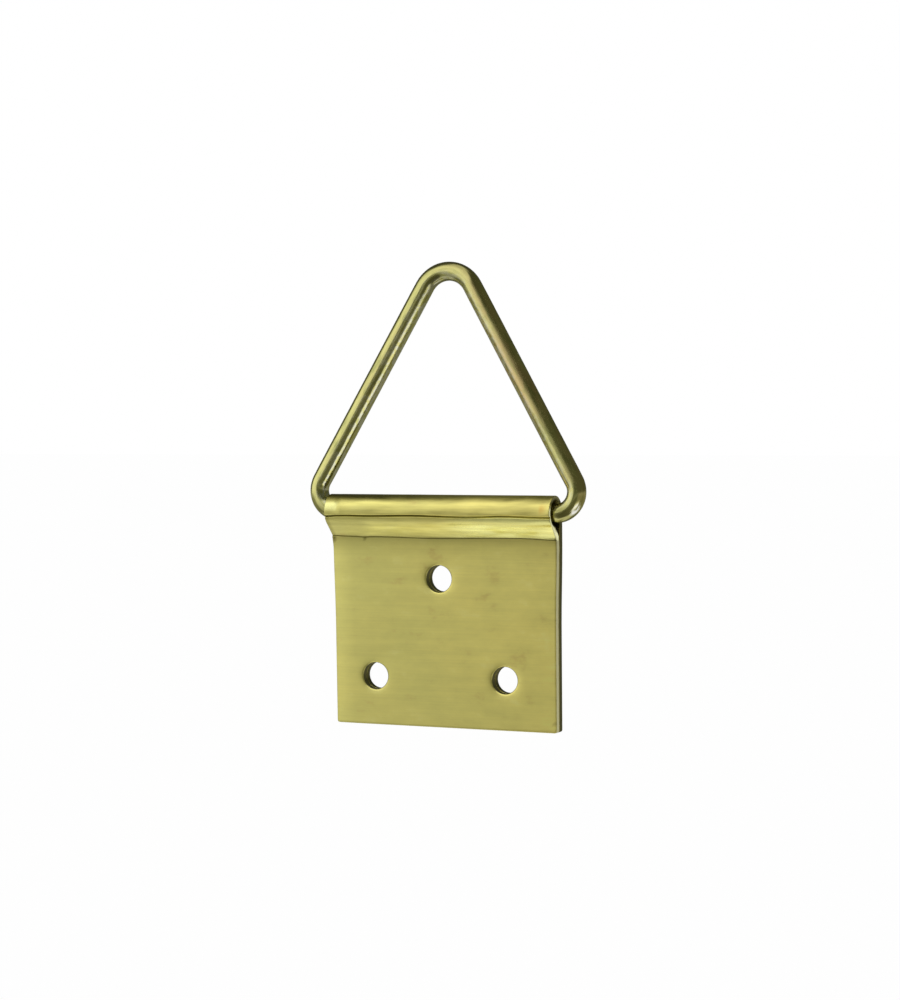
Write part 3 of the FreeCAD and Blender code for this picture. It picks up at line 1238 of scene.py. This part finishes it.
    def build(self) -> bpy.types.Object:
        """Makes the ring's mesh, rides it on its body and lets it stand for the plain solid.

        Returns:
            The ring.
        """
        rows, wire_rows = self.surface(*self.path())
        ids = np.arange(len(rows) * self.sides).reshape(len(rows), self.sides)
        quads = grid_quads(np.concatenate([ids, ids[:, :1]], axis=1))
        caps = np.stack([ids[0][::-1], ids[-1]])
        points, wire = rows.reshape(-1, 3), wire_rows.reshape(-1, 3)
        attributes = {"wire": wire, **self.wear(wire)}
        piece = mesh_object(self.name, points, [quads, caps], attributes)
        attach(piece, "ring")
        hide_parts("triangle_ring")
        return piece


class ShaderSheet:
    """The nodes of one material or world, added by short calls."""

    def __init__(self, block: bpy.types.Material | bpy.types.World) -> None:
        """Starts with no nodes.

        Args:
            block: The material or world that the nodes go in.
        """
        self.block = block
        self.block.use_nodes = True
        self.tree = block.node_tree
        self.tree.nodes.clear()

    def node(self, kind: str, inputs: dict[str | int, Value], **settings: object) -> bpy.types.Node:
        """Adds a node.

        Args:
            kind: The node's type, without its ShaderNode prefix.
            inputs: Values to set or sockets to link, by the input's name or number.
            settings: Properties of the node itself.

        Returns:
            The node.
        """
        made = self.tree.nodes.new("ShaderNode" + kind)
        for key, value in settings.items():
            setattr(made, key, value)
        for key, value in inputs.items():
            if isinstance(value, Socket):
                self.tree.links.new(value, made.inputs[key])
            else:
                made.inputs[key].default_value = value
        return made

    def pattern(self, attribute: str) -> Socket:
        """The piece's own vector attribute, in metres."""
        return self.node("Attribute", {}, attribute_name=attribute).outputs["Vector"]

    def mark(self, attribute: str) -> Socket:
        """The piece's own attribute of one number to a corner, from 0 to 1."""
        return self.node("Attribute", {}, attribute_name=attribute).outputs["Fac"]

    def span(self, value: Value, reads: Span, gives: Span = (0.0, 1.0)) -> Socket:
        """Stretches one range onto another, clamped.

        Args:
            value: The number to stretch.
            reads: The range it is read in.
            gives: The range that comes out.

        Returns:
            The stretched number.
        """
        inputs = {"Value": value, "From Min": reads[0], "From Max": reads[1]}
        inputs |= {"To Min": gives[0], "To Max": gives[1]}
        return self.node("MapRange", inputs).outputs["Result"]

    def math(self, operation: str, first: Value, second: Value) -> Socket:
        """One step of arithmetic."""
        return self.node("Math", {0: first, 1: second}, operation=operation).outputs[0]

    def tint(self, share: Value, first: Value, second: Value, label: str, blend: str = "MIX") -> Socket:
        """Mixes two colours by a share, in a node with a label."""
        inputs = {"Factor": share, 6: first, 7: second}
        return self.node("Mix", inputs, data_type="RGBA", blend_type=blend, label=label).outputs[2]

    def mix_shaders(self, share: Value, under: Socket, over: Socket) -> Socket:
        """Mixes two shaders by a share."""
        return self.node("MixShader", {0: share, 1: under, 2: over}).outputs[0]

    def bump(self, height: Socket, distance: float, under: Socket | None) -> Socket:
        """Lays a fine relief in the surface's shading.

        Args:
            height: The relief, from 0 to 1.
            distance: How high it stands, in metres.
            under: The relief that it lies on, if there is one.

        Returns:
            The bent normal.
        """
        inputs: dict[str | int, Value] = {"Height": height, "Strength": 1.0, "Distance": distance}
        if under is not None:
            inputs["Normal"] = under
        return self.node("Bump", inputs).outputs["Normal"]

    def seen_directly(self) -> Socket:
        """Tells rays from the camera, off metal or through glass from the rest.

        Returns:
            1 for those rays and 0 for all others.
        """
        path = self.node("LightPath", {}).outputs
        mirror = self.math("MAXIMUM", path["Is Glossy Ray"], path["Is Transmission Ray"])
        return self.math("MAXIMUM", path["Is Camera Ray"], mirror)

    def finish(self, shader: Socket) -> bpy.types.Material | bpy.types.World:
        """Ends the nodes in a shader.

        Args:
            shader: What the surface or the world shows.

        Returns:
            The material or world.
        """
        kind = "OutputWorld" if isinstance(self.block, bpy.types.World) else "OutputMaterial"
        self.node(kind, {"Surface": shader})
        return self.block


@dataclass(frozen=True)
class Noise:
    """Cloudy noise from 0 to 1: its features per metre, its finer layers and their strength."""

    name: str
    scale: tuple[float, float, float]
    detail: float
    rough: float = 0.5

    def add(self, sheet: ShaderSheet, place: Socket) -> Socket:
        """Adds the noise's nodes.

        Args:
            sheet: The nodes to add to.
            place: Where, as a vector in metres.

        Returns:
            The noise's value.
        """
        mapped = sheet.node("Mapping", {"Vector": place, "Scale": self.scale}).outputs["Vector"]
        inputs = {"Vector": mapped, "Scale": 1.0, "Detail": self.detail, "Roughness": self.rough}
        return sheet.node("TexNoise", inputs).outputs[0]


@dataclass(frozen=True)
class Reading:
    """A named source with one range stretched onto another, and cut down to a second source."""

    source: str
    reads: Span = (0.0, 1.0)
    gives: Span = (0.0, 1.0)
    within: str = ""

    def add(self, sheet: ShaderSheet, sources: dict[str, Socket]) -> Socket:
        """Adds the reading's nodes.

        Args:
            sheet: The nodes to add to.
            sources: What the reading can name.

        Returns:
            The reading's value.
        """
        stretched = sheet.span(sources[self.source], self.reads, self.gives)
        if self.within:
            return sheet.math("MULTIPLY", stretched, sources[self.within])
        return stretched


@dataclass(frozen=True)
class Wash:
    """A colour laid over those before it, as far as a reading says."""

    what: str
    colour: Colour
    share: Reading


@dataclass(frozen=True)
class Plating:
    """A brass plating: washes of colour over a base, and readings that shift its tone and gloss."""

    pattern: str
    base: Colour
    roughness: float
    noises: tuple[Noise, ...]
    marks: tuple[str, ...]
    washes: tuple[Wash, ...]
    tones: tuple[Reading, ...]
    roughened: tuple[Reading, ...]
    reliefs: tuple[tuple[str, float], ...]
    metallic: Reading

    def sources(self, sheet: ShaderSheet) -> dict[str, Socket]:
        """Adds the noises, the marks and the pattern's first two parts.

        Args:
            sheet: The nodes to add to.

        Returns:
            What the readings can name.
        """
        place = sheet.pattern(self.pattern)
        found = {noise.name: noise.add(sheet, place) for noise in self.noises}
        found |= {mark: sheet.mark(mark) for mark in self.marks}
        parts = sheet.node("SeparateXYZ", {"Vector": place}).outputs
        return found | {"first": parts["X"], "second": parts["Y"]}

    def material(self, name: str) -> bpy.types.Material:
        """Builds the material.

        The tone multiplies the washed colour, and each relief lies on the one before it.

        Args:
            name: The material's name.

        Returns:
            The material.
        """
        sheet = ShaderSheet(bpy.data.materials.new(name))
        sources = self.sources(sheet)
        shade: Value = self.base
        for wash in self.washes:
            shade = sheet.tint(wash.share.add(sheet, sources), shade, wash.colour, wash.what)
        tone: Value = 1.0
        for reading in self.tones:
            tone = sheet.math("ADD", reading.add(sheet, sources), tone)
        grey = sheet.node("CombineColor", {0: tone, 1: tone, 2: tone}).outputs[0]
        shade = sheet.tint(1.0, shade, grey, "tone", "MULTIPLY")
        rough: Value = self.roughness
        for reading in self.roughened:
            rough = sheet.math("ADD", reading.add(sheet, sources), rough)
        relief = None
        for source, distance in self.reliefs:
            relief = sheet.bump(sources[source], distance, relief)
        metallic = self.metallic.add(sheet, sources)
        inputs = {"Base Color": shade, "Metallic": metallic, "Roughness": rough, "Normal": relief}
        return sheet.finish(sheet.node("BsdfPrincipled", inputs).outputs[0])


@dataclass(frozen=True)
class PlateBrass(Plating):
    """Brass plating on rolled sheet: fine lines across the strip, soft mottling, paler cut walls, and
    painted shade and highlights where the plate's marks say.

    The first part of its pattern runs across the strip and the second along it.
    """

    pattern: str = "sheet"
    base: Colour = (0.81, 0.75, 0.245, 1.0)
    roughness: float = 0.36
    noises: tuple[Noise, ...] = (
        Noise("lines", (90.0, 5200.0, 900.0), 3.0, 0.6),
        Noise("streaks", (45.0, 900.0, 300.0), 2.0),
        Noise("cloud", (240.0, 400.0, 200.0), 4.0, 0.6),
        Noise("broad", (55.0, 90.0, 60.0), 2.0),
        Noise("fleck", (1500.0, 1900.0, 1500.0), 2.0),
        Noise("patch", (140.0, 1500.0, 200.0), 3.0, 0.6),
        Noise("dent", (230.0, 480.0, 200.0), 1.0),
    )
    marks: tuple[str, ...] = ("fold", "cut", "polish", "stain", "facet", "bare", "grime")
    washes: tuple[Wash, ...] = (
        Wash("ochre", (0.95, 0.835, 0.26, 1.0), Reading("drift", (0.25, 0.75))),
        Wash("pale", (0.92, 0.89, 0.42, 1.0), Reading("cloud", (0.58, 0.80), (0.0, 0.35))),
        Wash("dull", (0.72, 0.50, 0.17, 1.0), Reading("cloud", (0.40, 0.24), (0.0, 0.45))),
        Wash("cut metal", (0.68, 0.64, 0.36, 1.0), Reading("cut")),
        # Painted highlight on the band's right part, in streaks.
        Wash("polished", (0.98, 0.95, 0.36, 1.0), Reading("streaks", (0.25, 0.6), within="polish")),
        Wash("orange", (0.85, 0.52, 0.12, 1.0), Reading("stain", gives=(0.0, 0.8))),
        # Painted highlight on the pressed facet.
        Wash("bright", (1.0, 0.97, 0.39, 1.0), Reading("facet")),
        # Bare cut metal, pale cream as a painted highlight.
        Wash("bare metal", (1.0, 0.98, 0.54, 1.0), Reading("bare", (0.5, 0.9))),
        # Dark marks, mostly painted shade.
        Wash("dirt", (0.13, 0.115, 0.025, 1.0), Reading("grime")),
    )
    tones: tuple[Reading, ...] = (
        Reading("lines", (0.3, 0.7), (-0.035, 0.02)),
        Reading("streaks", (0.3, 0.7), (-0.04, 0.03)),
        Reading("cloud", (0.3, 0.7), (-0.06, 0.06)),
        Reading("first", (0.0, 12 * MM), (0.0, 0.09), "low"),
        # Painted light: the front leaf lighter towards its left end.
        Reading("first", (-12.2 * MM, -14.8 * MM), (0.0, 0.10), "leaf"),
        Reading("patch", (0.32, 0.68), (-0.17, 0.12), "fold"),
    )
    roughened: tuple[Reading, ...] = (
        Reading("cloud", (0.3, 0.7), (-0.05, 0.06)),
        Reading("lines", (0.3, 0.7), (-0.04, 0.04)),
        Reading("cut", gives=(0.0, 0.10)),
        Reading("gloss", gives=(0.0, -0.12)),
    )
    reliefs: tuple[tuple[str, float], ...] = (
        ("lines", 0.0022 * MM),
        ("broad", 0.05 * MM),
        ("fleck", 0.0012 * MM),
        ("knocks", 0.16 * MM),
    )
    metallic: Reading = Reading("bare", (0.0, 0.9), (1.0, 0.0))
    slant: Reading = Reading("first", (-15 * MM, 15 * MM), (-0.25, 0.25))
    leaf: Reading = Reading("fold", gives=(1.0, 0.0))
    low: Reading = Reading("second", (16 * MM, 3 * MM))

    def sources(self, sheet: ShaderSheet) -> dict[str, Socket]:
        """Adds the places on the leaves, the drift from left to right, the gloss and the knocks.

        Args:
            sheet: The nodes to add to.

        Returns:
            What the readings can name.
        """
        found = super().sources(sheet)
        found["leaf"] = self.leaf.add(sheet, found)
        found["low"] = self.low.add(sheet, found)
        found["drift"] = sheet.math("ADD", self.slant.add(sheet, found), found["broad"])
        found["gloss"] = sheet.math("MAXIMUM", found["polish"], found["facet"])
        found["knocks"] = sheet.math("MULTIPLY", found["fold"], found["dent"])
        return found


@dataclass(frozen=True)
class WireBrass(Plating):
    """Brass plating on drawn wire: lines along the wire, thin silvery flecks on the ring's inside,
    tarnishing mixed with painted shade, and a painted glint.

    The first part of its pattern runs along the wire, and the second out of the ring.
    """

    pattern: str = "wire"
    base: Colour = (0.75, 0.72, 0.28, 1.0)
    roughness: float = 0.16
    noises: tuple[Noise, ...] = (
        Noise("lines", (70.0, 4200.0, 4200.0), 3.0, 0.6),
        Noise("cloud", (160.0, 500.0, 500.0), 3.0),
        Noise("fleck", (1100.0, 2300.0, 2300.0), 3.0, 0.65),
        Noise("patch", (330.0, 1300.0, 1300.0), 3.0, 0.65),
    )
    marks: tuple[str, ...] = ("tarnish", "worn")
    washes: tuple[Wash, ...] = (
        Wash("brown", (0.72, 0.56, 0.25, 1.0), Reading("cloud", (0.42, 0.66), within="brown")),
        Wash("olive", (0.44, 0.45, 0.16, 1.0), Reading("patch", (0.48, 0.68), (0.0, 0.85))),
        Wash("silver", (0.86, 0.85, 0.70, 1.0), Reading("fleck", (0.44, 0.56), (0.0, 0.85), "inside")),
        # Tarnishing and painted shade at the apex and the corners.
        Wash("tarnish", (0.22, 0.21, 0.065, 1.0), Reading("cloud", (0.2, 0.45), (0.75, 0.98), "tarnish")),
        # Painted glint: a speckled near-white spot.
        Wash("rubbed", (0.97, 0.96, 0.86, 1.0), Reading("rubbed")),
    )
    tones: tuple[Reading, ...] = ()
    roughened: tuple[Reading, ...] = (
        Reading("lines", (0.3, 0.7), (-0.04, 0.05)),
        Reading("fleck", (0.4, 0.7), (-0.02, 0.06)),
    )
    reliefs: tuple[tuple[str, float], ...] = (("lines", 0.0030 * MM), ("pits", 0.014 * MM))
    # Less metallic where the painted glint lies.
    metallic: Reading = Reading("rubbed", gives=(1.0, 0.1))
    inside: Reading = Reading("second", (0.1 * MM, -0.9 * MM))
    brown: Reading = Reading("first", (44 * MM, 54 * MM), (1.0, 0.2))
    speckle: Reading = Reading("fleck", (0.38, 0.5), (0.25, 1.0))
    rubbed: Reading = Reading("worn", (0.15, 0.6), within="speckle")

    def sources(self, sheet: ShaderSheet) -> dict[str, Socket]:
        """Adds the ring's inside, the browner part, the speckled spot of painted glint and the pits.

        Args:
            sheet: The nodes to add to.

        Returns:
            What the readings can name.
        """
        found = super().sources(sheet)
        for name in ("inside", "brown", "speckle", "rubbed"):
            found[name] = getattr(self, name).add(sheet, found)
        found["pits"] = sheet.math("MULTIPLY", found["fleck"], found["inside"])
        return found


@dataclass(frozen=True)
class PaleFloor:
    """Plain white floor below the hanger, which keeps a soft part of the shadows on it."""

    name: str = "pale_floor"
    height: float = -250 * MM
    half_size: float = 12.0
    shadow_share: float = 0.05
    albedo: Colour = (0.88, 0.88, 0.88, 1.0)

    def build(self) -> bpy.types.Object:
        """Makes the floor: white where it is seen, less the share that shadows take from it.

        Returns:
            The floor.
        """
        corners = np.array([[-1.0, -1.0], [1.0, -1.0], [1.0, 1.0], [-1.0, 1.0]]) * self.half_size
        points = np.column_stack([corners, np.full(len(corners), self.height)])
        piece = mesh_object(self.name, points, [np.array([[0, 1, 2, 3]])], {})
        sheet = ShaderSheet(bpy.data.materials.new(self.name))
        lit = sheet.node("BsdfDiffuse", {"Color": self.albedo}).outputs[0]
        white = sheet.node("Emission", {"Strength": 1.0}).outputs[0]
        share = sheet.math("MULTIPLY", sheet.seen_directly(), 1.0 - self.shadow_share)
        piece.data.materials.append(sheet.finish(sheet.mix_shaders(share, lit, white)))
        return piece


@dataclass(frozen=True)
class StudioCard:
    """A card that the metal reflects: part of a sphere round the hanger, with soft edges.

    Turns count from straight in front of the hanger, positive to its right. Only reflections see
    the card, so it changes neither the background nor the floor's light.
    """

    name: str
    turns: Span
    heights: Span
    level: tuple[float, float, float]
    feather: float = 9.0
    radius: float = 1.2
    lean: float = 0.0
    divisions: int = 24

    def build(self, centre: Vector) -> bpy.types.Object:
        """Makes the card, a part of a sphere that is see-through at its edges by the feather.

        Args:
            centre: The sphere's middle.

        Returns:
            The card.
        """
        across = np.linspace(*self.turns, self.divisions)
        up = np.linspace(*self.heights, self.divisions)
        turn, height = np.meshgrid(across, up, indexing="ij")
        nearest_side = np.minimum(turn - self.turns[0], self.turns[1] - turn)
        nearest_end = np.minimum(height - self.heights[0], self.heights[1] - height)
        cover = np.clip(np.minimum(nearest_side, nearest_end) / self.feather, 0.0, 1.0)
        turn, height = np.radians(turn + self.lean * np.maximum(height, 0.0)), np.radians(height)
        ball = [np.sin(turn) * np.cos(height), -np.cos(turn) * np.cos(height), np.sin(height)]
        points = self.radius * np.stack(ball, axis=-1).reshape(-1, 3) + np.array(centre)
        quads = grid_quads(np.arange(cover.size).reshape(cover.shape))
        piece = mesh_object(self.name, points, [quads], {"cover": cover.ravel()})
        sheet = ShaderSheet(bpy.data.materials.new(self.name))
        glow = sheet.node("Emission", {"Color": (*self.level, 1.0)}).outputs[0]
        clear = sheet.node("BsdfTransparent", {}).outputs[0]
        piece.data.materials.append(sheet.finish(sheet.mix_shaders(sheet.mark("cover"), clear, glow)))
        piece.visible_camera = False
        piece.visible_diffuse = False
        piece.visible_shadow = False
        piece.visible_transmission = False
        return piece


@dataclass(frozen=True)
class SoftBox:
    """A rectangular lamp: where it stands, what it looks at, its sides and how bright it looks."""

    name: str
    place: tuple[float, float, float]
    sides: tuple[float, float]
    radiance: float

    def build(self, target: Vector) -> bpy.types.Object:
        """Makes the lamp, whose power is its radiance times pi times its area.

        Args:
            target: What it looks at.

        Returns:
            The lamp.
        """
        lamp = bpy.data.lights.new(self.name, "AREA")
        lamp.shape = "RECTANGLE"
        lamp.size, lamp.size_y = self.sides
        lamp.energy = self.radiance * math.pi * self.sides[0] * self.sides[1]
        holder = bpy.data.objects.new(self.name, lamp)
        holder.location = Vector(self.place)
        holder.rotation_euler = (target - Vector(self.place)).to_track_quat("-Z", "Y").to_euler()
        bpy.context.scene.collection.objects.link(holder)
        return holder


@dataclass(frozen=True)
class PictureCamera:
    """Where the photograph was taken from: angles in degrees, and sizes in metres."""

    name: str = "picture_camera"
    turn: float = 24.5
    height: float = 2.1
    roll: float = -0.44
    distance: float = 345 * MM
    target: tuple[float, float, float] = (1.05 * MM, -1.9 * MM, 15.87 * MM)
    focal_pixels: float = 2811.0
    picture_height: float = 1000.0
    sensor: float = 36.0
    clip: Span = (0.01, 20.0)

    def build(self) -> bpy.types.Object:
        """Makes the scene's camera, turned about its own axis by the roll.

        Returns:
            The camera.
        """
        turn, height, roll = (math.radians(angle) for angle in (self.turn, self.height, self.roll))
        level = math.cos(height)
        back = Vector((math.sin(turn) * level, -math.cos(turn) * level, math.sin(height)))
        level_right = Vector((0.0, 0.0, 1.0)).cross(back).normalized()
        level_up = back.cross(level_right)
        right = level_right * math.cos(roll) + level_up * math.sin(roll)
        up = level_up * math.cos(roll) - level_right * math.sin(roll)
        lens = bpy.data.cameras.new(self.name)
        lens.sensor_width = self.sensor
        lens.lens = self.sensor * self.focal_pixels / self.picture_height
        lens.clip_start, lens.clip_end = self.clip
        camera = bpy.data.objects.new(self.name, lens)
        place = Vector(self.target) + back * self.distance
        turned = Matrix((right, up, back)).transposed().to_4x4()
        camera.matrix_world = Matrix.Translation(place) @ turned
        bpy.context.scene.collection.objects.link(camera)
        bpy.context.scene.camera = camera
        return camera


@dataclass(frozen=True)
class Studio:
    """The light tent: white surroundings, a few cards for the metal to reflect, lamps and floor."""

    centre: tuple[float, float, float] = (0.0, 0.0, 15 * MM)
    surround_light: float = 0.95
    cards: tuple[StudioCard, ...] = (
        StudioCard("front_left_card", (-92.0, -4.0), (-12.0, 48.0), (0.86, 0.86, 0.83), 10.0, 1.20),
        StudioCard("dark_side_card", (-29.5, 178.0), (-11.0, 80.0), (0.085, 0.09, 0.06), 12.0, 1.15, 1.1),
        StudioCard("rear_card", (150.0, 279.0), (-11.0, 77.0), (0.10, 0.105, 0.07), 10.0, 1.30, 0.4),
        StudioCard("low_left_card", (-70.0, -10.0), (-58.0, 3.0), (0.62, 0.62, 0.59), 9.0, 0.285),
        StudioCard("far_left_card", (-130.0, -52.0), (-42.0, 1.0), (0.26, 0.26, 0.20), 9.0, 0.28),
        StudioCard("low_front_card", (-25.0, 56.0), (-72.0, 3.0), (0.12, 0.12, 0.08), 9.0, 0.27),
        StudioCard("low_rear_card", (40.0, 250.0), (-66.0, 3.0), (0.22, 0.22, 0.16), 10.0, 0.265),
        StudioCard("glint_card", (34.0, 82.0), (-49.0, -20.0), (1.10, 1.10, 1.08), 9.0, 0.25),
    )
    soft_boxes: tuple[SoftBox, ...] = (
        SoftBox("overhead_box", (-0.305, -0.365, 0.645), (0.72, 0.58), 0.25),
        SoftBox("left_box", (-0.80, -0.42, 0.16), (0.60, 0.62), 0.14),
    )

    def light_surroundings(self) -> None:
        """Makes the world white where it is seen, and a plainer light elsewhere."""
        sheet = ShaderSheet(bpy.data.worlds.new("white_surroundings"))
        strength = sheet.span(sheet.seen_directly(), (0.0, 1.0), (self.surround_light, 1.0))
        inputs = {"Color": (1.0, 1.0, 1.0, 1.0), "Strength": strength}
        bpy.context.scene.world = sheet.finish(sheet.node("Background", inputs).outputs[0])

    def build(self) -> None:
        """Sets up the floor, cards, lamps, surroundings and camera."""
        centre = Vector(self.centre)
        PaleFloor().build()
        for card in self.cards:
            card.build(centre)
        for box in self.soft_boxes:
            box.build(centre)
        self.light_surroundings()
        PictureCamera().build()
        bpy.context.scene.view_settings.view_transform = "Standard"


def report(piece: bpy.types.Object) -> None:
    """Logs a piece's name, its size in millimetres and its number of faces."""
    size = ", ".join(f"{side / MM:.2f}" for side in piece.dimensions)
    LOG.info("%s: %s mm, %d faces", piece.name, size, len(piece.data.polygons))


def main() -> None:
    """Builds the hanger's two pieces, dresses them and sets up the studio."""
    logging.basicConfig(level=logging.INFO)
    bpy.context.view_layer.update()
    sizes = HangerFrame.read(frame)
    plate = FoldedPlate(sizes).build()
    plate.data.materials.append(PlateBrass().material("plate_brass"))
    ring = TriangleRing(sizes).build()
    ring.data.materials.append(WireBrass().material("wire_brass"))
    for piece in (plate, ring):
        report(piece)
    Studio().build()


if __name__ == "__main__":
    main()
